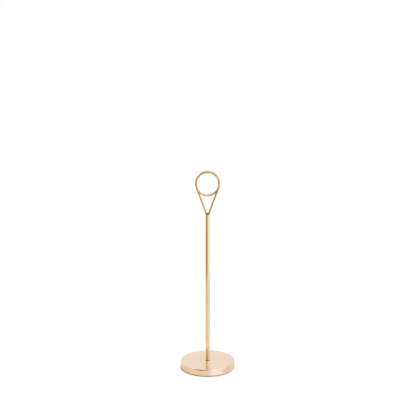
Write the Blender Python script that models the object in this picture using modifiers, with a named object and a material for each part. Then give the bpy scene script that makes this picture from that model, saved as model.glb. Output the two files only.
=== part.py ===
"""Table number holder: a weighted round base, a tubular stem and a coiled wire clip that grips a card.

Metres, +Z up. The origin is the centre of the footprint on the table and -Y is the front, from where the
clip reads as a ring above a V. The stem stands in a socket in the base and is held by one screw from
underneath. The clip is a single wire of one and a half turns, with its two legs brazed into the stem.
"""

import math

import bmesh
import bpy

# Driving dimensions
TOTAL_HEIGHT = 0.300
BASE_DIAMETER = 0.080
BASE_TOP = 0.011
RIM_HEIGHT = 0.001  # the base's rim stands this far above the table, on the pad
RING_WIDTH = 0.0333  # across the ring, from wire centre to wire centre
RING_STRETCH = 1.044  # the loop is a little taller than it is wide
WIRE_DIAMETER = 0.0024
CARD_GAP = 0.0004  # between the front turn and the rear turn
TUBE_DIAMETER = 0.006
TUBE_WALL = 0.0005
TUBE_TOP = 0.2355

# Base
TOP_EDGE_RADIUS = 0.0018
BOTTOM_EDGE_RADIUS = 0.0006
SOCKET_DIAMETER = 0.0064
SOCKET_DEPTH = 0.002
SCREW_HOLE_DIAMETER = 0.0034
RECESS_DIAMETER = 0.009  # the recess in the underside that hides the screw's head
RECESS_DEPTH = 0.0045
PAD_DIAMETER = 0.070
PAD_HOLE_DIAMETER = 0.012
PAD_THICKNESS = 0.0019

# Screw and washers, to the usual M3 sizes
THREAD_DIAMETER = 0.0029
THREAD_ROOT_DIAMETER = 0.0024
THREAD_PITCH = 0.0005
SCREW_LENGTH = 0.012
HEAD_DIAMETER = 0.0056
HEAD_HEIGHT = 0.0024
HEAD_EDGE_RADIUS = 0.0011
DRIVE_WIDTH = 0.0007
DRIVE_SPAN = 0.0028
DRIVE_DEPTH = 0.0014
FLAT_WASHER = (0.0032, 0.007, 0.0005)  # inner diameter, outer diameter, thickness
SPRING_WASHER = (0.0032, 0.0056, 0.0008)
WASHER_SLIT = 0.0004
SLIT_SLANT = math.radians(20)

# Stem fittings
INSERT_DIAMETER = 0.0048
INSERT_LENGTH = 0.010
LEG_SPACING = 0.0025  # centre to centre of the two wire legs inside the tube
LEG_DEPTH = 0.012
LEG_BEND_RADIUS = 0.006
CROSSING_SHARE = 0.7  # how much of the bottom arc the wire takes to change from the front to the rear
MOUTH_FLARE = 0.0003  # the tube's mouth is eased inside, where the legs lean out
MOUTH_FLARE_DEPTH = 0.0008
BRAZE_DEPTH = 0.003
WEB_HEIGHT = 0.0038
WEB_THICKNESS = 0.0017
WEB_SAG = 0.2  # how hollow the web's top edge is, as a share of its height

# Fits
SEAT_GAP = 0.0001  # between pieces that rest on each other
BRAZE_GAP = 0.00006  # between the filler and what it holds
THREAD_CLEARANCE = 0.0001

# Facets
BASE_STEPS = 72
SMALL_STEPS = 36
THREAD_STEPS = 12
ARC_STEPS = 3
WIRE_SIDES_RESOLUTION = 4
TURN_STEPS = 52
LEG_BEND_STEPS = 4
WEB_STEPS = 6
MERGE = 1e-6

# Heights that follow from the sizes above
RECESS_ROOF = RIM_HEIGHT + RECESS_DEPTH
STEM_FOOT = BASE_TOP - SOCKET_DEPTH + SEAT_GAP
FLAT_WASHER_FOOT = RECESS_ROOF - SEAT_GAP - FLAT_WASHER[2]
SPRING_WASHER_FOOT = FLAT_WASHER_FOOT - SEAT_GAP - SPRING_WASHER[2]
HEAD_SEAT = SPRING_WASHER_FOOT - SEAT_GAP
RING_HALF_WIDTH = RING_WIDTH / 2
RING_HALF_HEIGHT = RING_HALF_WIDTH * RING_STRETCH
RING_CENTRE = TOTAL_HEIGHT - WIRE_DIAMETER / 2 - RING_HALF_HEIGHT
TURN_OFFSET = (WIRE_DIAMETER + CARD_GAP) / 2  # each turn's distance from the card's plane


def clear_scene():
    for old in list(bpy.data.objects):
        bpy.data.objects.remove(old)


def collection(name, hidden=False):
    made = bpy.data.collections.new(name)
    made.hide_render = hidden
    bpy.context.scene.collection.children.link(made)
    return made


def finish_material(name, colour, roughness, metallic):
    material = bpy.data.materials.new(name)
    material.use_nodes = True
    shader = material.node_tree.nodes["Principled BSDF"]
    shader.inputs["Base Color"].default_value = (*colour, 1)
    shader.inputs["Roughness"].default_value = roughness
    shader.inputs["Metallic"].default_value = metallic
    return material


def add_object(name, data, group, material=None):
    made = bpy.data.objects.new(name, data)
    group.objects.link(made)
    if material:
        data.materials.append(material)
    return made


def shade_round(mesh):
    mesh.shade_smooth()
    mesh.set_sharp_from_angle(angle=math.radians(35))


def evaluated_mesh(made):
    """The object's mesh with its modifiers or curve bevel applied, and loose seams welded."""
    graph = bpy.context.evaluated_depsgraph_get()
    mesh = bpy.data.meshes.new_from_object(made.evaluated_get(graph))
    shape = bmesh.new()
    shape.from_mesh(mesh)
    bmesh.ops.remove_doubles(shape, verts=shape.verts, dist=MERGE)
    shape.to_mesh(mesh)
    shape.free()
    return mesh


def arc(centre, radius, start, end, steps=ARC_STEPS):
    """Points on a round stretch of a profile, from one angle to the other, in degrees."""
    points = []
    for i in range(steps + 1):
        angle = math.radians(start + (end - start) * i / steps)
        points.append((centre[0] + radius * math.cos(angle), centre[1] + radius * math.sin(angle)))
    return points


def profile_mesh(name, points, closed):
    mesh = bpy.data.meshes.new(name)
    edges = [(i, i + 1) for i in range(len(points) - 1)]
    if closed:
        edges.append((len(points) - 1, 0))
    mesh.from_pydata([(r, 0, z) for r, z in points], edges, [])
    return mesh


def turned(name, points, group, material, steps=SMALL_STEPS, closed=True):
    """A solid of revolution about Z from (radius, height) points that run down the outer side."""
    made = add_object(name, profile_mesh(name, points, closed), group, material)
    screw = made.modifiers.new("Turn", "SCREW")
    screw.steps = steps
    screw.render_steps = steps
    screw.use_merge_vertices = True
    screw.merge_threshold = MERGE
    solid = evaluated_mesh(made)
    made.modifiers.clear()
    made.data = solid
    shade_round(solid)
    return made


def ring(name, inner, outer, foot, thickness, group, material, steps=SMALL_STEPS):
    """A flat ring, such as a washer or a pad."""
    top = foot + thickness
    points = [(inner / 2, top), (outer / 2, top), (outer / 2, foot), (inner / 2, foot)]
    return turned(name, points, group, material, steps)


def box(name, size, centre, group, slant=0.0):
    mesh = bpy.data.meshes.new(name)
    shape = bmesh.new()
    bmesh.ops.create_cube(shape, size=1)
    bmesh.ops.scale(shape, vec=size, verts=shape.verts)
    shape.to_mesh(mesh)
    shape.free()
    made = add_object(name, mesh, group)
    made.location = centre
    made.rotation_euler = (slant, 0, 0)
    return made


def boolean(made, other, operation):
    """Cuts or joins made with other, for good."""
    modifier = made.modifiers.new(other.name, "BOOLEAN")
    modifier.operation = operation
    modifier.object = other
    bpy.context.view_layer.update()
    result = evaluated_mesh(made)
    made.modifiers.clear()
    made.data = result
    shade_round(result)


def as_cutter(made):
    made.hide_render = True
    made.display_type = "WIRE"
    return made


def threaded_rod(name, diameter, root_diameter, foot, turns, group, material=None):
    """A helical V thread about Z: one pitch of profile, screwed upwards from foot, with its ends closed."""
    crest, root = diameter / 2, root_diameter / 2
    points = [(root, foot + THREAD_PITCH), (crest, foot + THREAD_PITCH / 2), (root, foot)]
    made = add_object(name, profile_mesh(name, points, closed=False), group, material)
    screw = made.modifiers.new("Thread", "SCREW")
    screw.steps = THREAD_STEPS
    screw.render_steps = THREAD_STEPS
    screw.screw_offset = THREAD_PITCH
    screw.iterations = turns
    screw.use_merge_vertices = True
    screw.merge_threshold = MERGE
    solid = evaluated_mesh(made)
    made.modifiers.clear()
    shape = bmesh.new()
    shape.from_mesh(solid)
    open_edges = [edge for edge in shape.edges if edge.is_boundary]
    bmesh.ops.holes_fill(shape, edges=open_edges)
    bmesh.ops.recalc_face_normals(shape, faces=shape.faces)
    shape.to_mesh(solid)
    shape.free()
    made.data = solid
    shade_round(solid)
    return made


def ring_point(angle, depth):
    """A point on the loop's oval centre line. 0 is the right side and 90 degrees is the top."""
    x = RING_HALF_WIDTH * math.cos(angle)
    z = RING_CENTRE + RING_HALF_HEIGHT * math.sin(angle)
    return (x, depth, z)


def tangent_angle(x, z):
    """The loop angle, right of centre and below it, where the line from (x, z) touches the loop."""
    across = x / RING_HALF_WIDTH
    along = (z - RING_CENTRE) / RING_HALF_HEIGHT
    reach = math.hypot(across, along)
    return math.atan2(along, across) + math.acos(1 / reach)


def leg_points(side, depth):
    """One leg, from inside the tube up to the loop: straight, a short bend at the mouth, then straight."""
    inner = side * LEG_SPACING / 2
    touch = tangent_angle(LEG_SPACING / 2, TUBE_TOP)
    loop_x, _, loop_z = ring_point(touch, depth)
    lean = math.atan2(loop_x - LEG_SPACING / 2, loop_z - TUBE_TOP)
    points = [(inner, 0, TUBE_TOP - LEG_DEPTH)]
    bend_x = LEG_SPACING / 2 + LEG_BEND_RADIUS
    bend_z = TUBE_TOP - LEG_BEND_RADIUS * math.tan(lean / 2)
    for i in range(LEG_BEND_STEPS + 1):
        turn = lean * i / LEG_BEND_STEPS
        x = bend_x - LEG_BEND_RADIUS * math.cos(turn)
        z = bend_z + LEG_BEND_RADIUS * math.sin(turn)
        share = max(0.0, (z - TUBE_TOP) / (loop_z - TUBE_TOP))
        points.append((side * x, depth * share, z))
    return points, touch


def smooth_step(share):
    share = min(1.0, max(0.0, share))
    return share * share * (3 - 2 * share)


def wire_path():
    """The clip's centre line: right leg, front turn, across the bottom, rear turn, left leg."""
    right_leg, touch = leg_points(1, -TURN_OFFSET)
    left_leg, _ = leg_points(-1, TURN_OFFSET)
    start, end = touch, 3 * math.pi - touch
    middle = 3 * math.pi / 2
    cross_reach = (middle - (math.pi - touch)) * CROSSING_SHARE
    loop = []
    for i in range(TURN_STEPS + 1):
        angle = start + (end - start) * i / TURN_STEPS
        share = smooth_step((angle - middle + cross_reach) / (2 * cross_reach))
        loop.append(ring_point(angle, TURN_OFFSET * (2 * share - 1)))
    return right_leg + loop + left_leg[::-1]


def wire(name, thickness, group, material=None):
    """A round wire along the clip's path, as a mesh."""
    points = wire_path()
    curve = bpy.data.curves.new(name, "CURVE")
    curve.dimensions = "3D"
    curve.bevel_depth = thickness / 2
    curve.bevel_resolution = WIRE_SIDES_RESOLUTION
    curve.use_fill_caps = True
    spline = curve.splines.new("POLY")
    spline.points.add(len(points) - 1)
    for point, place in zip(spline.points, points):
        point.co = (*place, 1)
    drawn = add_object(name + "_path", curve, group)
    bpy.context.view_layer.update()
    mesh = evaluated_mesh(drawn)
    bpy.data.objects.remove(drawn)
    shade_round(mesh)
    return add_object(name, mesh, group, material)


def base_disc(parts, gold):
    """The solid round base, with the stem's socket on top and the screw's recess underneath."""
    edge = BASE_DIAMETER / 2
    top_centre = (edge - TOP_EDGE_RADIUS, BASE_TOP - TOP_EDGE_RADIUS)
    bottom_centre = (edge - BOTTOM_EDGE_RADIUS, RIM_HEIGHT + BOTTOM_EDGE_RADIUS)
    pad_seat = PAD_THICKNESS + SEAT_GAP
    pad_edge = PAD_DIAMETER / 2 + SEAT_GAP
    socket_floor = BASE_TOP - SOCKET_DEPTH
    points = [(SOCKET_DIAMETER / 2, BASE_TOP)]
    points += arc(top_centre, TOP_EDGE_RADIUS, 90, 0)
    points += arc(bottom_centre, BOTTOM_EDGE_RADIUS, 0, -90, ARC_STEPS // 2)
    points += [
        (pad_edge, RIM_HEIGHT),
        (pad_edge, pad_seat),
        (RECESS_DIAMETER / 2, pad_seat),
        (RECESS_DIAMETER / 2, RECESS_ROOF),
        (SCREW_HOLE_DIAMETER / 2, RECESS_ROOF),
        (SCREW_HOLE_DIAMETER / 2, socket_floor),
        (SOCKET_DIAMETER / 2, socket_floor),
    ]
    turned("base_disc", points, parts, gold, BASE_STEPS)


def foot_pad(parts, felt):
    ring("foot_pad", PAD_HOLE_DIAMETER, PAD_DIAMETER, 0, PAD_THICKNESS, parts, felt, BASE_STEPS)


def stem_tube(parts, gold):
    outer = TUBE_DIAMETER / 2
    inner = outer - TUBE_WALL
    points = [
        (inner + MOUTH_FLARE, TUBE_TOP),
        (outer, TUBE_TOP),
        (outer, STEM_FOOT),
        (inner, STEM_FOOT),
        (inner, TUBE_TOP - MOUTH_FLARE_DEPTH),
    ]
    turned("stem_tube", points, parts, gold)


def stem_insert(parts, cutters, brass):
    """The threaded bush brazed into the stem's lower end."""
    top = STEM_FOOT + INSERT_LENGTH
    edge = INSERT_DIAMETER / 2
    points = [(0, top), (edge, top), (edge, STEM_FOOT), (0, STEM_FOOT)]
    insert = turned("stem_insert", points, parts, brass, closed=False)
    diameter = THREAD_DIAMETER + 2 * THREAD_CLEARANCE
    root_diameter = THREAD_ROOT_DIAMETER + 2 * THREAD_CLEARANCE
    turns = math.ceil((top - HEAD_SEAT) / THREAD_PITCH) + 2
    tap = threaded_rod("insert_tap", diameter, root_diameter, HEAD_SEAT - THREAD_PITCH, turns, cutters)
    boolean(insert, as_cutter(tap), "DIFFERENCE")


def base_screw(parts, cutters, steel):
    """The pan-head cross-drive screw that pulls the stem down into its socket."""
    edge = HEAD_DIAMETER / 2
    foot = HEAD_SEAT - HEAD_HEIGHT
    points = [(0, HEAD_SEAT), (edge, HEAD_SEAT)]
    points += arc((edge - HEAD_EDGE_RADIUS, foot + HEAD_EDGE_RADIUS), HEAD_EDGE_RADIUS, 0, -90)
    points += [(0, foot)]
    head = turned("base_screw", points, parts, steel, SMALL_STEPS // 2, closed=False)
    turns = round(SCREW_LENGTH / THREAD_PITCH)
    thread_foot = HEAD_SEAT - THREAD_PITCH
    shank = threaded_rod("shank", THREAD_DIAMETER, THREAD_ROOT_DIAMETER, thread_foot, turns, cutters)
    boolean(head, as_cutter(shank), "UNION")
    for name, size in (
        ("drive_across", (DRIVE_SPAN, DRIVE_WIDTH, 2 * DRIVE_DEPTH)),
        ("drive_along", (DRIVE_WIDTH, DRIVE_SPAN, 2 * DRIVE_DEPTH)),
    ):
        boolean(head, as_cutter(box(name, size, (0, 0, foot), cutters)), "DIFFERENCE")


def washers(parts, cutters, steel):
    inner, outer, thickness = FLAT_WASHER
    ring("flat_washer", inner, outer, FLAT_WASHER_FOOT, thickness, parts, steel)
    inner, outer, thickness = SPRING_WASHER
    spring = ring("spring_washer", inner, outer, SPRING_WASHER_FOOT, thickness, parts, steel)
    centre = (outer / 2, 0, SPRING_WASHER_FOOT + thickness / 2)
    slit = box("washer_slit", (outer, WASHER_SLIT, 4 * thickness), centre, cutters, SLIT_SLANT)
    boolean(spring, as_cutter(slit), "DIFFERENCE")


def web_outline():
    """The filler between the legs, seen from the front: a wedge with a hollow top edge."""
    touch = tangent_angle(LEG_SPACING / 2, TUBE_TOP)
    loop_x, _, loop_z = ring_point(touch, 0)
    spread = (loop_x - LEG_SPACING / 2) / (loop_z - TUBE_TOP)
    half_foot = LEG_SPACING / 2
    half_top = half_foot + spread * WEB_HEIGHT
    foot = TUBE_TOP - BRAZE_DEPTH / 2
    points = [(-half_foot, foot), (half_foot, foot)]
    for i in range(WEB_STEPS + 1):
        across = 1 - 2 * i / WEB_STEPS
        sag = WEB_HEIGHT * WEB_SAG * (1 - across * across)
        points.append((half_top * across, TUBE_TOP + WEB_HEIGHT - sag))
    return points


def ring_braze(parts, cutters, brass):
    """The brazing filler that fixes both legs in the tube's mouth and webs the fork between them."""
    edge = TUBE_DIAMETER / 2 - TUBE_WALL - BRAZE_GAP
    top, foot = TUBE_TOP - SEAT_GAP, TUBE_TOP - BRAZE_DEPTH
    points = [(0, top), (edge, top), (edge, foot), (0, foot)]
    plug = turned("ring_braze", points, parts, brass, closed=False)
    outline = bpy.data.curves.new("web", "CURVE")
    outline.dimensions = "2D"
    outline.fill_mode = "BOTH"
    outline.extrude = WEB_THICKNESS / 2
    spline = outline.splines.new("POLY")
    corners = web_outline()
    spline.points.add(len(corners) - 1)
    for point, (x, z) in zip(spline.points, corners):
        point.co = (x, z, 0, 1)
    spline.use_cyclic_u = True
    drawn = add_object("web_outline", outline, cutters)
    bpy.context.view_layer.update()
    web = add_object("braze_web", evaluated_mesh(drawn), cutters)
    web.rotation_euler = (math.pi / 2, 0, 0)
    bpy.data.objects.remove(drawn)
    boolean(plug, as_cutter(web), "UNION")
    legs = wire("wire_clearance", WIRE_DIAMETER + 2 * BRAZE_GAP, cutters)
    boolean(plug, as_cutter(legs), "DIFFERENCE")


def build():
    clear_scene()
    parts = collection("table_number_holder")
    cutters = collection("cutters", hidden=True)
    gold = finish_material("brushed_gold", (0.82, 0.62, 0.38), 0.3, 1)
    brass = finish_material("brass", (0.62, 0.42, 0.18), 0.4, 1)
    steel = finish_material("zinc_steel", (0.62, 0.63, 0.65), 0.35, 1)
    felt = finish_material("felt", (0.05, 0.045, 0.04), 0.95, 0)
    base_disc(parts, gold)
    foot_pad(parts, felt)
    stem_tube(parts, gold)
    stem_insert(parts, cutters, brass)
    base_screw(parts, cutters, steel)
    washers(parts, cutters, steel)
    wire("card_ring", WIRE_DIAMETER, parts, gold)
    ring_braze(parts, cutters, brass)


build()
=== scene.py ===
"""Table number holder: the finished surfaces, materials, studio and camera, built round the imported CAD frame.

Metres, +Z up, -Y is the front. Every piece is rebuilt at its CAD node's own place and size: turned parts from
filleted profiles, the clip as a wire swept along its path, the brazing as a smoothed fillet.
"""

import math

import bmesh
import bpy
from mathutils import Matrix, Vector


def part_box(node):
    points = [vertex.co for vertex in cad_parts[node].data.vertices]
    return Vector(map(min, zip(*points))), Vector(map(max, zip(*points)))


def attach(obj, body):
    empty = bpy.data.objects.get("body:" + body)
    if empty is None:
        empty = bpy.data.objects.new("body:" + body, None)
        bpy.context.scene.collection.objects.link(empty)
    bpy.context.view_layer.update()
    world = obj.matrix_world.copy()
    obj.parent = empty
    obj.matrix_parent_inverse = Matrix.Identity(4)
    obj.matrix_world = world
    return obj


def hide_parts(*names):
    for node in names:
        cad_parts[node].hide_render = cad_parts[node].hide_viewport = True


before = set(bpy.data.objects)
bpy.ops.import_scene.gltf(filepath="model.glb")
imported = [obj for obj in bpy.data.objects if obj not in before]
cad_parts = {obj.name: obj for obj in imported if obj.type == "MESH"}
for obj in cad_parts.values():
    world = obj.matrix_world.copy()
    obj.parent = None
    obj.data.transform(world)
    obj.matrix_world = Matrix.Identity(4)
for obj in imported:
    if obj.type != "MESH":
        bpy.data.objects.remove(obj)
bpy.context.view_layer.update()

# Sizes that the frame's boxes don't give
TOP_EDGE_RADIUS = 0.0018
BOTTOM_EDGE_RADIUS = 0.0006
BREAK = 0.0001  # the usual small radius left on a machined corner
OVERLAP = 0.0002  # how far a solid reaches into the one that it is joined to
WIRE_RADIUS = 0.0012
RING_STRETCH = 1.044  # the loop's height over its width
CROSSING_SHARE = 0.7  # how much of the bottom arc the wire takes to change from the front to the rear
LEG_SPACING = 0.0025
LEG_BEND_RADIUS = 0.006
TUBE_WALL = 0.0005
TUBE_FLARE = 0.0003  # the mouth's bore opens by this much
TUBE_FLARE_DEPTH = 0.0008
SOCKET_RADIUS = 0.0032
SOCKET_DEPTH = 0.002
RECESS_RADIUS = 0.0045
RECESS_DEPTH = 0.0045
SCREW_HOLE_RADIUS = 0.0017
PAD_HOLE_RADIUS = 0.006
SEAT_GAP = 0.0001
THREAD_PITCH = 0.0005
THREAD_RADIUS = 0.00145
THREAD_DEPTH = 0.00025
THREAD_CLEARANCE = 0.0001
HEAD_HEIGHT = 0.0024
HEAD_ROUND = 0.0011
DRIVE_WIDTH = 0.0007
DRIVE_SPAN = 0.0028
DRIVE_DEPTH = 0.0014
WASHER_HOLE_RADIUS = 0.0016
SPRING_SLIT = math.radians(9)
SPRING_WIRE_SHARE = 0.88  # the spring washer's own thickness over its height, pressed nearly flat
BRAZE_GAP = 0.00004
WEB_ROOT = 0.0015  # how far the brazing's web reaches down into the tube
WEB_SAG = 0.2
WEB_THICKNESS = 0.0020
COLLAR_THICKNESS = 0.00018
COLLAR_ROOT = 0.0003  # the collars start this far below the tube's rim
COLLAR_DROP = 0.0012  # and stop this far below the web's tips
BRAZE_BITE = 0.00002  # the filler closes on the wire by this much

# Each metal's colour, and its colour where it is paler
GOLD_TURNED = (0.88, 0.737, 0.62), (0.90, 0.757, 0.64)
GOLD_TUBE = (0.93, 0.715, 0.46), (0.95, 0.74, 0.49)
GOLD_WIRE = (0.64, 0.395, 0.135), (0.70, 0.45, 0.175)
BRAZE = (0.66, 0.42, 0.15), (0.74, 0.50, 0.21)
BRASS = (0.72, 0.52, 0.22), (0.78, 0.58, 0.28)
ZINC = (0.62, 0.64, 0.67), (0.7, 0.71, 0.72)
# Painted shade: the dark brown laid on the tube's foot and on the filler in the fork
PAINTED_SHADE_COLOUR = (0.30, 0.13, 0.02, 1)
SEAM_PAINTED_SHADE = (0.0004, 0.0009, 0.6)  # painted shade on the tube: full up to the first height above the base, none at the second; strength
FORK_PAINTED_SHADE = (0.001, 0.0022, 0.9)  # painted shade on the filler in the fork: the same, as distances from the stem's axis
TARNISH_SCALE = 60.0
SMUDGE_SCALE = 130.0
SMUDGE_SPREAD = 0.15  # smudges raise and lower the roughness by this share
GRAIN_HEIGHT = 0.00002
GROOVE_STRETCH = 0.0003  # metres of grain to each radian along a turned groove
DRAWN_STRETCH = 0.02  # metres of grain to each metre along the wire

# Studio
WHITE = (1, 1, 1, 1)
TABLE_RADIUS = 0.47
TABLE_NEAR = (0.91, 0.785, 0.61, 1)  # in reflections, next to the base
TABLE_FAR = (0.79, 0.69, 0.62, 1)
TABLE_GLOW = (1.05, 1.02, 0.95, 1)  # in reflections, towards the key light
NEAR_RADIUS = 0.07
FAR_RADIUS = 0.12
NEAR_GLOW = (24, 0, 0, 24)  # azimuth, elevation, inner and outer degrees
FAR_GLOW = (40, 0, 10, 36)
TABLE_LIGHT = 0.88  # how much of the table's white is its own light, which no shadow dims
TABLE_PAPER = 0.13
CONTACT_SHADE = (0.30, 0.20, 0.11, 1)  # the table's own light right under the base's rim
CONTACT_REACH = (-0.0006, 0.0008)  # from the rim, where the shade is full and where it ends
CONTACT_MIRROR = (0.42, 0.28, 0.10, 1)  # the same place, in reflections
MIRROR_REACH = 0.003
SHADE_SHIFT = (-0.0006, 0, 0)  # the base's contact shadow falls away from the key light
ROOM_LEVEL = 0.21
ROOM_TINT = (1.6, 1.0, 0.1, 1)
DARKEST = 0.14
BRIGHTEST = 1.08
SOFT_BOXES = (  # azimuth, elevation, inner and outer degrees, strength
    (50, 0, 28, 44, 0.75),  # the key light, low on the right
    (50, 30, 20, 35, 0.8),  # its upper part
    (200, 45, 40, 50, 0.7),  # the rear wall
    (110, 35, 25, 45, 0.35),  # a white wall on the right
    (0, 55, 50, 70, 0.55),  # a large soft light over the camera
    (325, 45, 15, 34, -0.9),  # a dark flag, high in front and left of the camera
    (335, 2, 6, 17, -0.9),  # a small one below it, at the height of the table
    (5, -18, 10, 26, 0.4),  # the floor in front, beyond the table
    (130, -30, 30, 60, 0.65),  # light from below, rear right
    (230, -15, 25, 50, 0.3),  # light from below, rear left
    (275, 25, 20, 50, 0.4),  # the left wall
)
SPARK = (30, 8, 5, 14, 1.2)  # a small lamp in the key light, brighter than the rest

CAMERA_PLACE = (0, -1.650, 0.6699)
CAMERA_TILT = 14.425  # degrees down from level
CAMERA_LENS = 101.88
CAMERA_SHIFT = 0.00096

# Fineness
LATHE_STEPS = 192
SMALL_STEPS = 96
THREAD_STEPS = 32
WIRE_SIDES = 28
COLLAR_SIDES = 20
TABLE_STEPS = 96
BRAZE_VOXEL = 0.00012
ARC_STEPS = 6
MERGE = 1e-7


class Place:
    """A CAD node's radius and heights, read from its box."""

    def __init__(self, node):
        low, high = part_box(node)
        self.radius = high.x
        self.foot = low.z
        self.top = high.z
        self.depth = high.y


# ---------------------------------------------------------------- mesh tools


def new_object(name, mesh):
    made = bpy.data.objects.new(name, mesh)
    bpy.context.scene.collection.objects.link(made)
    return made


def shade_round(mesh, angle=32):
    mesh.shade_smooth()
    mesh.set_sharp_from_angle(angle=math.radians(angle))


def drop_spare_corners(shape):
    """Takes out points in the middle of an edge between two faces, which a cut leaves behind."""
    spare = [vertex for vertex in shape.verts if len(vertex.link_edges) == 2 and len(vertex.link_faces) == 2]
    bmesh.ops.dissolve_verts(shape, verts=spare)


def freeze(made):
    """Applies the modifiers, welds the seams, drops spare corners and turns every face outwards."""
    bpy.context.view_layer.update()
    graph = bpy.context.evaluated_depsgraph_get()
    mesh = bpy.data.meshes.new_from_object(made.evaluated_get(graph))
    shape = bmesh.new()
    shape.from_mesh(mesh)
    bmesh.ops.remove_doubles(shape, verts=shape.verts, dist=MERGE)
    bmesh.ops.dissolve_degenerate(shape, edges=shape.edges, dist=MERGE)
    drop_spare_corners(shape)
    bmesh.ops.recalc_face_normals(shape, faces=shape.faces)
    shape.to_mesh(mesh)
    shape.free()
    made.modifiers.clear()
    made.data = mesh
    shade_round(mesh)
    return made


def filleted(corners):
    """Turns (radius, height, fillet) corners into a profile whose corners are arcs."""
    points = []
    count = len(corners)
    for i, (r, z, fillet) in enumerate(corners):
        here = Vector((r, z))
        if fillet == 0:
            points.append(here)
            continue
        before = (Vector(corners[i - 1][:2]) - here).normalized()
        after = (Vector(corners[(i + 1) % count][:2]) - here).normalized()
        half = before.angle(after) / 2
        reach = fillet / math.tan(half)
        middle = here + (before + after).normalized() * fillet / math.sin(half)
        first = here + before * reach - middle
        last = here + after * reach - middle
        sweep_angle = first.angle_signed(last)
        for k in range(ARC_STEPS + 1):
            turned_point = first.copy()
            turned_point.rotate(Matrix.Rotation(-sweep_angle * k / ARC_STEPS, 2))
            points.append(middle + turned_point)
    return points


def lathe(name, corners, steps=LATHE_STEPS, closed=True):
    """A turned solid about Z. The profile runs down its outer side."""
    points = filleted(corners)
    edges = [(i, i + 1) for i in range(len(points) - 1)]
    if closed:
        edges.append((len(points) - 1, 0))
    mesh = bpy.data.meshes.new(name)
    mesh.from_pydata([(p.x, 0, p.y) for p in points], edges, [])
    made = new_object(name, mesh)
    turn = made.modifiers.new("Turn", "SCREW")
    turn.steps = steps
    turn.render_steps = steps
    turn.use_merge_vertices = True
    turn.merge_threshold = MERGE
    return freeze(made)


def sweep(name, path, section, side=None):
    """Carries a section, in (side, up) metres, along a path without twist, and closes both ends.

    A side, if given, is where the section's first axis points at the start. The attribute "unbent" keeps each
    point's (side, up, distance along), so that a drawn grain can follow the metal."""
    path = [Vector(p) for p in path]
    shape = bmesh.new()
    unbent = shape.verts.layers.float_vector.new("unbent")
    tangent = (path[1] - path[0]).normalized()
    if side is None:
        side = tangent.orthogonal().normalized()
    rings = []
    distance = 0.0
    for i, here in enumerate(path):
        ahead = path[min(i + 1, len(path) - 1)]
        behind = path[max(i - 1, 0)]
        new_tangent = (ahead - behind).normalized()
        side.rotate(tangent.rotation_difference(new_tangent))
        side = (side - new_tangent * side.dot(new_tangent)).normalized()
        tangent = new_tangent
        up = tangent.cross(side)
        if i:
            distance += (here - path[i - 1]).length
        ring = []
        for u, v in section:
            vertex = shape.verts.new(here + side * u + up * v)
            vertex[unbent] = (u, v, distance)
            ring.append(vertex)
        rings.append(ring)
    count = len(section)
    for ring, following in zip(rings, rings[1:]):
        for k in range(count):
            shape.faces.new((ring[k], ring[(k + 1) % count], following[(k + 1) % count], following[k]))
    shape.faces.new(rings[0][::-1])
    shape.faces.new(rings[-1])
    bmesh.ops.recalc_face_normals(shape, faces=shape.faces)
    mesh = bpy.data.meshes.new(name)
    shape.to_mesh(mesh)
    shape.free()
    shade_round(mesh)
    return new_object(name, mesh)


def circle(radius, sides):
    turns = [2 * math.pi * k / sides for k in range(sides)]
    return [(radius * math.cos(turn), radius * math.sin(turn)) for turn in turns]


def boolean(made, other, operation):
    modifier = made.modifiers.new("Boolean", "BOOLEAN")
    modifier.operation = operation
    modifier.object = other
    freeze(made)
    bpy.data.objects.remove(other)
    return made


def rod_with_thread(name, crest, foot, top):
    """A helical V thread about Z between two heights, with cut ends. All threads are in step."""
    root = crest - THREAD_DEPTH
    flat = THREAD_PITCH / 8
    turns = math.ceil((top - foot) / THREAD_PITCH) + 3
    start = (math.floor(foot / THREAD_PITCH) - 1) * THREAD_PITCH
    points = [
        (root, start + THREAD_PITCH),
        (crest, start + THREAD_PITCH / 2 + flat / 2),
        (crest, start + THREAD_PITCH / 2 - flat / 2),
        (root, start + flat),
        (root, start),
    ]
    mesh = bpy.data.meshes.new(name)
    mesh.from_pydata([(r, 0, z) for r, z in points], [(i, i + 1) for i in range(len(points) - 1)], [])
    made = new_object(name, mesh)
    turn = made.modifiers.new("Thread", "SCREW")
    turn.steps = THREAD_STEPS
    turn.render_steps = THREAD_STEPS
    turn.screw_offset = THREAD_PITCH
    turn.iterations = turns
    turn.use_merge_vertices = True
    turn.merge_threshold = MERGE
    freeze(made)
    shape = bmesh.new()
    shape.from_mesh(made.data)
    bmesh.ops.holes_fill(shape, edges=[edge for edge in shape.edges if edge.is_boundary])
    bmesh.ops.recalc_face_normals(shape, faces=shape.faces)
    shape.to_mesh(made.data)
    shape.free()
    chamfer = THREAD_DEPTH * 1.2
    corners = [
        (0, top, 0),
        (crest - chamfer, top, 0),
        (crest + chamfer, top - 2 * chamfer, 0),
        (crest + chamfer, foot, 0),
        (0, foot, 0),
    ]
    return boolean(made, lathe("envelope", corners, THREAD_STEPS, closed=False), "INTERSECT")


# ---------------------------------------------------------------- the clip's path


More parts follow.
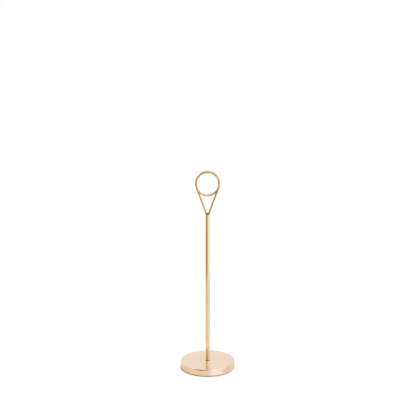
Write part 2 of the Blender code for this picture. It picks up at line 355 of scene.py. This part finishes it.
class Clip:
    """The wire's centre line, worked out from the clip's and the tube's boxes."""

    def __init__(self):
        box = Place("card_ring")
        self.half_width = box.radius - WIRE_RADIUS
        self.half_height = self.half_width * RING_STRETCH
        self.centre = box.top - WIRE_RADIUS - self.half_height
        self.offset = box.depth - WIRE_RADIUS
        self.foot = box.foot
        self.mouth = Place("stem_tube").top

    def loop_point(self, angle, depth):
        height = self.centre + self.half_height * math.sin(angle)
        return Vector((self.half_width * math.cos(angle), depth, height))

    def touch(self):
        """The loop angle where a leg meets the loop on the right-hand side."""
        across = LEG_SPACING / 2 / self.half_width
        along = (self.mouth - self.centre) / self.half_height
        return math.atan2(along, across) + math.acos(1 / math.hypot(across, along))

    def leg(self, side, depth, steps=24):
        touching = self.loop_point(self.touch(), depth)
        lean = math.atan2(touching.x - LEG_SPACING / 2, touching.z - self.mouth)
        bend = Vector((LEG_SPACING / 2 + LEG_BEND_RADIUS, self.mouth - LEG_BEND_RADIUS * math.tan(lean / 2)))
        points = [Vector((side * LEG_SPACING / 2, 0, self.foot))]
        for i in range(steps + 1):
            turn = lean * i / steps
            x = bend.x - LEG_BEND_RADIUS * math.cos(turn)
            z = bend.y + LEG_BEND_RADIUS * math.sin(turn)
            share = max(0.0, (z - self.mouth) / (touching.z - self.mouth))
            points.append(Vector((side * x, depth * share, z)))
        start = points[-1]
        end = Vector((side * touching.x, depth, touching.z))
        return points + [start.lerp(end, k / steps) for k in range(1, steps)]

    def path(self, steps=220):
        touch = self.touch()
        middle = 3 * math.pi / 2
        reach = (middle - (math.pi - touch)) * CROSSING_SHARE
        loop = []
        for i in range(steps + 1):
            angle = touch + (3 * math.pi - 2 * touch) * i / steps
            share = min(1.0, max(0.0, (angle - middle + reach) / (2 * reach)))
            share = share * share * (3 - 2 * share)
            loop.append(self.loop_point(angle, self.offset * (2 * share - 1)))
        return self.leg(1, -self.offset) + loop + self.leg(-1, self.offset)[::-1]


# ---------------------------------------------------------------- pieces


def base_disc():
    box = Place("base_disc")
    pad = Place("foot_pad")
    roof = box.foot + RECESS_DEPTH
    floor = box.top - SOCKET_DEPTH
    pad_edge = pad.radius + SEAT_GAP
    pad_seat = pad.top + SEAT_GAP
    return lathe(
        "base_disc",
        [
            (SOCKET_RADIUS, box.top, 1.5 * BREAK),
            (box.radius, box.top, TOP_EDGE_RADIUS),
            (box.radius, box.foot, BOTTOM_EDGE_RADIUS),
            (pad_edge, box.foot, 2 * BREAK),
            (pad_edge, pad_seat, BREAK),
            (RECESS_RADIUS, pad_seat, 2 * BREAK),
            (RECESS_RADIUS, roof, 2 * BREAK),
            (SCREW_HOLE_RADIUS, roof, BREAK),
            (SCREW_HOLE_RADIUS, floor, BREAK),
            (SOCKET_RADIUS, floor, BREAK),
        ],
    )


def foot_pad():
    box = Place("foot_pad")
    edge = 4 * BREAK
    return lathe(
        "foot_pad",
        [
            (PAD_HOLE_RADIUS, box.top, edge),
            (box.radius, box.top, edge),
            (box.radius, box.foot, edge),
            (PAD_HOLE_RADIUS, box.foot, edge),
        ],
    )


def stem_tube():
    box = Place("stem_tube")
    inner = box.radius - TUBE_WALL
    return lathe(
        "stem_tube",
        [
            (inner + TUBE_FLARE, box.top, 0.5 * BREAK),
            (box.radius, box.top, 1.2 * BREAK),
            (box.radius, box.foot, BREAK),
            (inner, box.foot, BREAK),
            (inner, box.top - TUBE_FLARE_DEPTH, 3 * BREAK),
        ],
        SMALL_STEPS,
    )


def stem_insert():
    box = Place("stem_insert")
    edge = 3 * BREAK
    made = lathe(
        "stem_insert",
        [(0, box.top, 0), (box.radius, box.top, edge), (box.radius, box.foot, edge), (0, box.foot, 0)],
        SMALL_STEPS,
        closed=False,
    )
    beyond = 2 * THREAD_PITCH
    tap = rod_with_thread("tap", THREAD_RADIUS + THREAD_CLEARANCE, box.foot - beyond, box.top + beyond)
    return boolean(made, tap, "DIFFERENCE")


def drive_recess(tip):
    """A cross-shaped cutter that tapers as it goes up into the screw's head from its tip."""
    arm, reach = DRIVE_WIDTH / 2, DRIVE_SPAN / 2
    outline = [(arm, arm), (reach, arm), (reach, -arm), (arm, -arm), (arm, -reach), (-arm, -reach)]
    outline += [(-x, -y) for x, y in outline]
    shape = bmesh.new()
    levels = []
    for depth_share, scale in ((-0.5, 1.25), (0, 1.0), (0.75, 0.62), (1, 0.25)):
        height = tip + DRIVE_DEPTH * depth_share
        levels.append([shape.verts.new((x * scale, y * scale, height)) for x, y in outline])
    for lower, upper in zip(levels, levels[1:]):
        for k in range(len(outline)):
            following = (k + 1) % len(outline)
            shape.faces.new((lower[k], lower[following], upper[following], upper[k]))
    shape.faces.new(levels[0])
    shape.faces.new(levels[-1][::-1])
    bmesh.ops.recalc_face_normals(shape, faces=shape.faces)
    mesh = bpy.data.meshes.new("drive")
    shape.to_mesh(mesh)
    shape.free()
    return new_object("drive", mesh)


def base_screw():
    box = Place("base_screw")
    seat = box.foot + HEAD_HEIGHT
    shank = rod_with_thread("base_screw", THREAD_RADIUS, seat - OVERLAP, box.top)
    cap = lathe(
        "cap",
        [(0, seat, 0), (box.radius, seat, BREAK), (box.radius, box.foot, HEAD_ROUND), (0, box.foot, 0)],
        SMALL_STEPS,
        closed=False,
    )
    boolean(shank, cap, "UNION")
    return boolean(shank, drive_recess(box.foot), "DIFFERENCE")


def flat_washer():
    box = Place("flat_washer")
    return lathe(
        "flat_washer",
        [
            (WASHER_HOLE_RADIUS, box.top, 0.8 * BREAK),
            (box.radius, box.top, 1.2 * BREAK),
            (box.radius, box.foot, 0.5 * BREAK),
            (WASHER_HOLE_RADIUS, box.foot, 0.5 * BREAK),
        ],
        SMALL_STEPS,
    )


def spring_washer():
    """A split ring of rectangular wire, pressed nearly flat."""
    box = Place("spring_washer")
    width = box.radius - WASHER_HOLE_RADIUS
    height = (box.top - box.foot) * SPRING_WIRE_SHARE
    rise = (box.top - box.foot) - height
    middle = WASHER_HOLE_RADIUS + width / 2
    corner = 0.8 * BREAK
    section = filleted(
        [
            (-width / 2, height / 2, corner),
            (width / 2, height / 2, corner),
            (width / 2, -height / 2, corner),
            (-width / 2, -height / 2, corner),
        ]
    )
    path = []
    for i in range(SMALL_STEPS + 1):
        share = i / SMALL_STEPS
        angle = SPRING_SLIT / 2 + (2 * math.pi - SPRING_SLIT) * share
        z = box.foot + height / 2 + rise * share
        path.append((middle * math.cos(angle), middle * math.sin(angle), z))
    return sweep("spring_washer", path, section, side=Vector((1, 0, 0)))


def card_ring():
    return sweep("card_ring", Clip().path(), circle(WIRE_RADIUS, WIRE_SIDES))


def braze_web(clip, top):
    """The filler between the legs: a wedge whose top edge sags, as thick as it is deep in the fork."""
    touch = clip.loop_point(clip.touch(), 0)
    spread = (touch.x - LEG_SPACING / 2) / (touch.z - clip.mouth)
    half_foot = LEG_SPACING / 2
    half_top = half_foot + spread * (top - clip.mouth)
    foot = clip.mouth - WEB_ROOT
    outline = [(-half_foot, foot), (half_foot, foot)]
    steps = 12
    for i in range(steps + 1):
        across = 1 - 2 * i / steps
        sag = (top - clip.mouth) * WEB_SAG * (1 - across * across)
        outline.append((half_top * across, top - sag))
    shape = bmesh.new()
    front = [shape.verts.new((x, -WEB_THICKNESS / 2, z)) for x, z in outline]
    rear = [shape.verts.new((x, WEB_THICKNESS / 2, z)) for x, z in outline]
    shape.faces.new(front)
    shape.faces.new(rear[::-1])
    for k in range(len(outline)):
        following = (k + 1) % len(outline)
        shape.faces.new((front[k], rear[k], rear[following], front[following]))
    bmesh.ops.recalc_face_normals(shape, faces=shape.faces)
    mesh = bpy.data.meshes.new("web")
    shape.to_mesh(mesh)
    shape.free()
    return new_object("web", mesh)


def ring_braze():
    """The filler: a plug in the tube's mouth, a thin collar round each leg and a web that closes the fork.

    The collars stand proud of the filler's plain CAD solid, and stay clear of the tube."""
    clip = Clip()
    tube = Place("stem_tube")
    box = Place("ring_braze")
    bore = tube.radius - TUBE_WALL - BRAZE_GAP
    rim = tube.top - SEAT_GAP
    corners = [(0, rim, 0), (bore, rim, 0), (bore, box.foot, 0), (0, box.foot, 0)]
    made = lathe("ring_braze", corners, SMALL_STEPS, closed=False)
    boolean(made, braze_web(clip, box.top), "UNION")
    for side, depth in ((1, -clip.offset), (-1, clip.offset)):
        leg = clip.leg(side, depth, steps=60)
        wetted = [p for p in leg if tube.top - COLLAR_ROOT < p.z < box.top - COLLAR_DROP]
        boolean(made, sweep("collar", wetted, circle(WIRE_RADIUS + COLLAR_THICKNESS, COLLAR_SIDES)), "UNION")
    remesh = made.modifiers.new("Remesh", "REMESH")
    remesh.mode = "VOXEL"
    remesh.voxel_size = BRAZE_VOXEL
    smooth = made.modifiers.new("Smooth", "SMOOTH")
    smooth.factor = 0.5
    smooth.iterations = 6
    freeze(made)
    wire = sweep("wire", clip.path(), circle(WIRE_RADIUS - BRAZE_BITE, WIRE_SIDES))
    return boolean(made, wire, "DIFFERENCE")


# ---------------------------------------------------------------- materials


def add_node(tree, kind, inputs=None, **settings):
    """Adds a shader node. Each input is a value or another node's output."""
    made = tree.nodes.new(kind)
    for key, value in settings.items():
        setattr(made, key, value)
    for key, value in (inputs or {}).items():
        if isinstance(value, bpy.types.NodeSocket):
            tree.links.new(value, made.inputs[key])
        else:
            made.inputs[key].default_value = value
    return made


def grey(level):
    return (level, level, level, 1)


def noise_texture(tree, place, scale, detail=2.0):
    made = add_node(tree, "ShaderNodeTexNoise", {"Vector": place, "Scale": scale, "Detail": detail})
    return made.outputs["Fac"]


def remap(tree, value, low, high, to_low, to_high):
    inputs = {"Value": value, "From Min": low, "From Max": high, "To Min": to_low, "To Max": to_high}
    return add_node(tree, "ShaderNodeMapRange", inputs).outputs["Result"]


def mix_colour(tree, factor, first, second):
    """Mixes two colours, which are inputs 6 and 7 of the node. Its inputs 2 and 3 are for plain numbers."""
    made = add_node(tree, "ShaderNodeMix", {0: factor, 6: first, 7: second}, data_type="RGBA")
    return made.outputs[2]


def metal(name, colours, roughness, grain_place, grain_scale, grain_strength, anisotropy=0.0, painted_shade=None):
    """A metal with a fine grain, faint tarnish and smudges that change its gloss, and painted shade where a
    mask is given.
    """
    material = bpy.data.materials.new(name)
    material.use_nodes = True
    tree = material.node_tree
    shader = tree.nodes["Principled BSDF"]
    shader.inputs["Metallic"].default_value = 1.0
    coordinates = add_node(tree, "ShaderNodeTexCoord").outputs["Object"]
    cloud = noise_texture(tree, coordinates, TARNISH_SCALE, 3.0)
    smudge = noise_texture(tree, coordinates, SMUDGE_SCALE, 4.0)
    place = grain_place(tree)
    grain = noise_texture(tree, place, grain_scale, 3.0)
    colour, pale = colours
    tone = mix_colour(tree, remap(tree, cloud, 0.35, 0.65, 0.0, 1.0), (*colour, 1), (*pale, 1))
    # painted shade: the colour darkens towards the dark brown where the mask says
    if painted_shade:
        tone = mix_colour(tree, painted_shade(tree, coordinates), tone, PAINTED_SHADE_COLOUR)
    tree.links.new(tone, shader.inputs["Base Color"])
    smooth, rough = roughness * (1 - SMUDGE_SPREAD), roughness * (1 + SMUDGE_SPREAD)
    gloss = remap(tree, smudge, 0.3, 0.7, smooth, rough)
    tree.links.new(gloss, shader.inputs["Roughness"])
    shader.inputs["Anisotropic"].default_value = anisotropy
    if anisotropy:
        tangent = add_node(tree, "ShaderNodeTangent", direction_type="RADIAL", axis="Z").outputs["Tangent"]
        tree.links.new(tangent, shader.inputs["Tangent"])
    inputs = {"Height": grain, "Strength": grain_strength, "Distance": GRAIN_HEIGHT}
    bump = add_node(tree, "ShaderNodeBump", inputs)
    tree.links.new(bump.outputs["Normal"], shader.inputs["Normal"])
    return material


def axis_distance(tree, parts):
    """The distance from Z of a place that is already separated into X, Y and Z."""
    flat = add_node(tree, "ShaderNodeCombineXYZ", {"X": parts["X"], "Y": parts["Y"]}).outputs[0]
    return add_node(tree, "ShaderNodeVectorMath", {0: flat}, operation="LENGTH").outputs["Value"]


def turned_grain(tree):
    """Coordinates for grooves that run round Z: fine across them, slow along them."""
    place = add_node(tree, "ShaderNodeTexCoord").outputs["Object"]
    parts = add_node(tree, "ShaderNodeSeparateXYZ", {0: place}).outputs
    radius = axis_distance(tree, parts)
    turn = add_node(tree, "ShaderNodeMath", {0: parts["Y"], 1: parts["X"]}, operation="ARCTAN2").outputs[0]
    slow = add_node(tree, "ShaderNodeMath", {0: turn, 1: GROOVE_STRETCH}, operation="MULTIPLY").outputs[0]
    return add_node(tree, "ShaderNodeCombineXYZ", {"X": radius, "Y": slow, "Z": parts["Z"]}).outputs[0]


def drawn_grain(tree):
    """Coordinates for the fine lines that drawing leaves along a wire."""
    place = add_node(tree, "ShaderNodeAttribute", attribute_name="unbent").outputs["Vector"]
    return add_node(tree, "ShaderNodeMapping", {"Vector": place, "Scale": (1, 1, DRAWN_STRETCH)}).outputs[0]


def plain_grain(tree):
    return add_node(tree, "ShaderNodeTexCoord").outputs["Object"]


def seam_painted_shade(tree, place):
    """Painted shade: a dark band on the tube just above where it meets the base."""
    height = add_node(tree, "ShaderNodeSeparateXYZ", {0: place}).outputs["Z"]
    seam = Place("base_disc").top
    full, end, strength = SEAM_PAINTED_SHADE
    return remap(tree, height, seam + full, seam + end, strength, 0.0)


def fork_painted_shade(tree, place):
    """Painted shade on the filler in the fork, darkest near the stem's axis. Towards the tube's rim it keeps
    its golden colour.
    """
    parts = add_node(tree, "ShaderNodeSeparateXYZ", {0: place}).outputs
    full, end, strength = FORK_PAINTED_SHADE
    return remap(tree, axis_distance(tree, parts), full, end, strength, 0.0)


def felt(name):
    """Pressed wool felt: matted fibres, thicker and thinner patches, and pale lint."""
    material = bpy.data.materials.new(name)
    material.use_nodes = True
    tree = material.node_tree
    shader = tree.nodes["Principled BSDF"]
    dark, pale = (0.010, 0.009, 0.008, 1), (0.085, 0.076, 0.066, 1)
    worn, lint = (0.012, 0.011, 0.01, 1), (0.30, 0.28, 0.25, 1)
    place = add_node(tree, "ShaderNodeTexCoord").outputs["Object"]
    inputs = {"Vector": place, "Scale": 260.0, "Detail": 3.0}
    bent = add_node(tree, "ShaderNodeTexNoise", inputs).outputs["Color"]
    inputs = {0: bent, 1: (0.006, 0.006, 0.006), 2: place}
    fibre_place = add_node(tree, "ShaderNodeVectorMath", inputs, operation="MULTIPLY_ADD").outputs[0]
    fibres = noise_texture(tree, fibre_place, 1500.0, 6.0)
    patches = noise_texture(tree, place, 220.0, 3.0)
    specks = noise_texture(tree, fibre_place, 900.0, 2.0)
    tone = mix_colour(tree, remap(tree, fibres, 0.3, 0.7, 0.0, 1.0), dark, pale)
    tone = mix_colour(tree, remap(tree, patches, 0.35, 0.65, 0.0, 0.6), tone, worn)
    tone = mix_colour(tree, remap(tree, specks, 0.58, 0.72, 0.0, 0.3), tone, lint)
    tree.links.new(tone, shader.inputs["Base Color"])
    shader.inputs["Roughness"].default_value = 1.0
    shader.inputs["Specular IOR Level"].default_value = 0.1
    shader.inputs["Sheen Weight"].default_value = 0.15
    bump = add_node(tree, "ShaderNodeBump", {"Height": fibres, "Strength": 0.9, "Distance": 0.0004})
    tree.links.new(bump.outputs["Normal"], shader.inputs["Normal"])
    return material


# ---------------------------------------------------------------- studio


def studio_floor():
    """A round white table. It is open under the foot pad and can't be seen from below."""
    shape = bmesh.new()
    rings = []
    for radius in (Place("foot_pad").radius - SEAT_GAP, TABLE_RADIUS):
        rings.append([shape.verts.new((x, y, 0)) for x, y in circle(radius, TABLE_STEPS)])
    inner, outer = rings
    for k in range(TABLE_STEPS):
        following = (k + 1) % TABLE_STEPS
        shape.faces.new((inner[k], outer[k], outer[following], inner[following]))
    mesh = bpy.data.meshes.new("floor")
    shape.to_mesh(mesh)
    shape.free()
    mesh.materials.append(table_material())
    new_object("floor", mesh)


def table_material():
    """The table's white: paper plus its own light, shaded where the base's rim meets it.

    Its reflections are dimmer than the white the camera sees, and brighter on the key light's side."""
    material = bpy.data.materials.new("floor")
    material.use_nodes = True
    tree = material.node_tree
    tree.nodes.remove(tree.nodes["Principled BSDF"])
    place = add_node(tree, "ShaderNodeTexCoord").outputs["Object"]
    inputs = {0: place, 1: SHADE_SHIFT}
    shifted = add_node(tree, "ShaderNodeVectorMath", inputs, operation="SUBTRACT").outputs[0]
    distance = add_node(tree, "ShaderNodeVectorMath", {0: shifted}, operation="LENGTH").outputs["Value"]
    outward = add_node(tree, "ShaderNodeVectorMath", {0: place}, operation="NORMALIZE").outputs[0]
    rim = Place("base_disc").radius
    near = mix_colour(tree, lobe(tree, outward, *NEAR_GLOW), TABLE_NEAR, TABLE_GLOW)
    far = mix_colour(tree, lobe(tree, outward, *FAR_GLOW), TABLE_FAR, TABLE_GLOW)
    reflected = mix_colour(tree, remap(tree, distance, NEAR_RADIUS, FAR_RADIUS, 0.0, 1.0), near, far)
    clear = remap(tree, distance, rim, rim + MIRROR_REACH, 0.0, 1.0)
    reflected = mix_colour(tree, clear, CONTACT_MIRROR, reflected)
    mirrored = add_node(tree, "ShaderNodeEmission", {"Color": reflected}).outputs[0]
    full, end = CONTACT_REACH
    clear = remap(tree, distance, rim + full, rim + end, 0.0, 1.0)
    own_light = mix_colour(tree, clear, CONTACT_SHADE, grey(TABLE_LIGHT))
    glow = add_node(tree, "ShaderNodeEmission", {"Color": own_light}).outputs[0]
    paper = add_node(tree, "ShaderNodeBsdfDiffuse", {"Color": grey(TABLE_PAPER)}).outputs[0]
    lit = add_node(tree, "ShaderNodeAddShader", {0: paper, 1: glow}).outputs[0]
    glossy = add_node(tree, "ShaderNodeLightPath").outputs["Is Glossy Ray"]
    top = add_node(tree, "ShaderNodeMixShader", {0: glossy, 1: lit, 2: mirrored}).outputs[0]
    hidden = add_node(tree, "ShaderNodeBsdfTransparent").outputs[0]
    behind = add_node(tree, "ShaderNodeNewGeometry").outputs["Backfacing"]
    surface = add_node(tree, "ShaderNodeMixShader", {0: behind, 1: top, 2: hidden}).outputs[0]
    tree.links.new(surface, tree.nodes["Material Output"].inputs["Surface"])
    material.cycles.emission_sampling = "NONE"
    return material


def aim(azimuth, elevation):
    """A direction: degrees round from the camera's side towards its right, and degrees above the table."""
    turn, rise = math.radians(azimuth), math.radians(elevation)
    return Vector((math.sin(turn) * math.cos(rise), -math.cos(turn) * math.cos(rise), math.sin(rise)))


def lobe(tree, direction, azimuth, elevation, inner, outer):
    """1 within inner degrees of where it is aimed, falling softly to 0 at outer degrees."""
    inputs = {0: direction, 1: aim(azimuth, elevation)}
    dot = add_node(tree, "ShaderNodeVectorMath", inputs, operation="DOT_PRODUCT").outputs["Value"]
    low, high = math.cos(math.radians(outer)), math.cos(math.radians(inner))
    inputs = {"Value": dot, "From Min": low, "From Max": high}
    return add_node(tree, "ShaderNodeMapRange", inputs, interpolation_type="SMOOTHSTEP").outputs["Result"]


def add_light(tree, level, direction, light):
    """Adds a light, given as (azimuth, elevation, inner degrees, outer degrees, strength), to a level."""
    *place, strength = light
    inputs = {0: lobe(tree, direction, *place), 1: strength, 2: level}
    return add_node(tree, "ShaderNodeMath", inputs, operation="MULTIPLY_ADD").outputs[0]


def studio_world():
    """Reflections show a dim warm room with soft boxes and flags. Everything else sees even white light."""
    world = bpy.data.worlds.new("studio")
    bpy.context.scene.world = world
    world.use_nodes = True
    world.cycles.sampling_method = "NONE"
    tree = world.node_tree
    direction = add_node(tree, "ShaderNodeTexCoord").outputs["Generated"]
    room = add_node(tree, "ShaderNodeValue")
    room.outputs[0].default_value = ROOM_LEVEL
    level = room.outputs[0]
    for box in SOFT_BOXES:
        level = add_light(tree, level, direction, box)
    level = add_node(tree, "ShaderNodeClamp", {"Value": level, "Min": DARKEST, "Max": BRIGHTEST}).outputs[0]
    level = add_light(tree, level, direction, SPARK)
    warmth = mix_colour(tree, level, ROOM_TINT, WHITE)
    glossy = add_node(tree, "ShaderNodeLightPath").outputs["Is Glossy Ray"]
    colour = mix_colour(tree, glossy, WHITE, warmth)
    strength = add_node(tree, "ShaderNodeMix", {0: glossy, 2: 1.0, 3: level}).outputs[0]
    background = tree.nodes["Background"]
    tree.links.new(colour, background.inputs["Color"])
    tree.links.new(strength, background.inputs["Strength"])


def studio_camera():
    camera = bpy.data.objects.new("camera", bpy.data.cameras.new("camera"))
    bpy.context.scene.collection.objects.link(camera)
    camera.location = CAMERA_PLACE
    camera.rotation_euler = (math.radians(90 - CAMERA_TILT), 0, 0)
    camera.data.sensor_width = 36
    camera.data.lens = CAMERA_LENS
    camera.data.shift_x = CAMERA_SHIFT
    bpy.context.scene.camera = camera


def main():
    gold_turned = metal("gold_turned", GOLD_TURNED, 0.18, turned_grain, 9000, 0.25, 0.5)
    # the tube carries painted shade just above where it meets the base
    gold_tube = metal("gold_tube", GOLD_TUBE, 0.16, turned_grain, 7000, 0.25, 0.4, painted_shade=seam_painted_shade)
    gold_wire = metal("gold_wire", GOLD_WIRE, 0.2, drawn_grain, 9000, 0.3)
    # the filler carries painted shade in the fork between the legs
    braze_with_painted_shade = metal("braze_with_painted_shade", BRAZE, 0.35, plain_grain, 2500, 0.8, painted_shade=fork_painted_shade)
    brass = metal("brass", BRASS, 0.25, turned_grain, 8000, 0.5)
    zinc = metal("zinc", ZINC, 0.3, plain_grain, 3000, 0.3)
    pad_felt = felt("pad_felt")
    for build, body, material, slot in (
        (base_disc, "base", gold_turned, "brushed_gold"),
        (foot_pad, "base", pad_felt, "felt"),
        (stem_tube, "stem", gold_tube, "brushed_gold"),
        (stem_insert, "stem", brass, "brass"),
        (card_ring, "stem", gold_wire, "gold_wire"),
        (ring_braze, "stem", braze_with_painted_shade, "braze"),
        (flat_washer, "washers", zinc, "zinc_steel"),
        (spring_washer, "washers", zinc, "zinc_steel"),
        (base_screw, "screw", zinc, "zinc_steel"),
    ):
        node = build.__name__
        piece = build()
        piece.name = node + "_finished"
        piece.data.materials.clear()
        piece.data.materials.append(material)
        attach(piece, body)
        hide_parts(node)
    studio_floor()
    studio_world()
    studio_camera()


main()
bpy.context.scene.view_settings.view_transform = "Standard"
